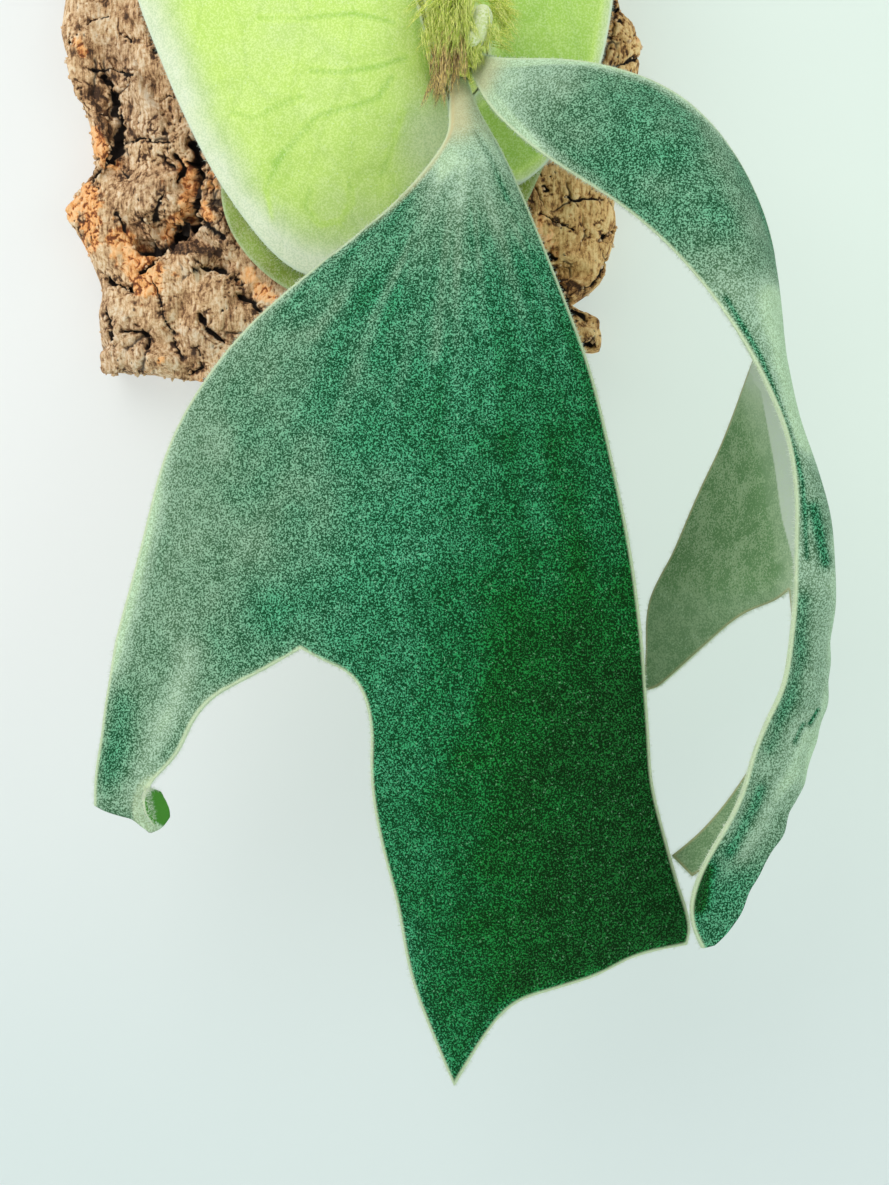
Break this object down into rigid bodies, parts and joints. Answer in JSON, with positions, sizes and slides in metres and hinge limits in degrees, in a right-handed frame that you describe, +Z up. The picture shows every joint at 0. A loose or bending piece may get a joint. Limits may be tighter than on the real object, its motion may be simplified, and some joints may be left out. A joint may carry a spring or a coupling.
{
  "type": "mounted staghorn fern",
  "caption": "Staghorn fern on a cork bark slab with a wire eye to hang it by: pale clasping shield fronds, a furry bud and forked, felted green fertile fronds.",
  "frame": {"origin": "on the slab's flat back, behind the middle of the plant", "axes": "+Z up the slab, +Y out of the slab's back into the wall, so the fronds face -Y; +X to the viewer's right"},
  "size_m": [0.2438, 0.1321, 0.4932],
  "materials": {
    "cork": "matte",
    "steel": "satin",
    "moss": "matte",
    "rhizome": "matte",
    "young_leaf": "matte",
    "old_leaf": "matte",
    "shield_leaf": "matte",
    "fertile_leaf": "matte",
    "line": "gloss"
  },
  "bodies": {
    "root": {"cork_slab": "cork", "hanger_wire": "steel", "moss_pad": "moss", "rhizome_bud": "rhizome", "young_frond": "young_leaf", "shield_frond_old": "old_leaf", "shield_frond_right": "shield_leaf", "shield_frond_left": "shield_leaf", "fertile_frond_main": "fertile_leaf", "fertile_frond_side": "fertile_leaf", "tie_line_1": "line", "tie_line_2": "line", "tie_screw_1": "steel", "tie_screw_2": "steel", "tie_screw_3": "steel", "tie_screw_4": "steel"}
  },
  "joints": []
}
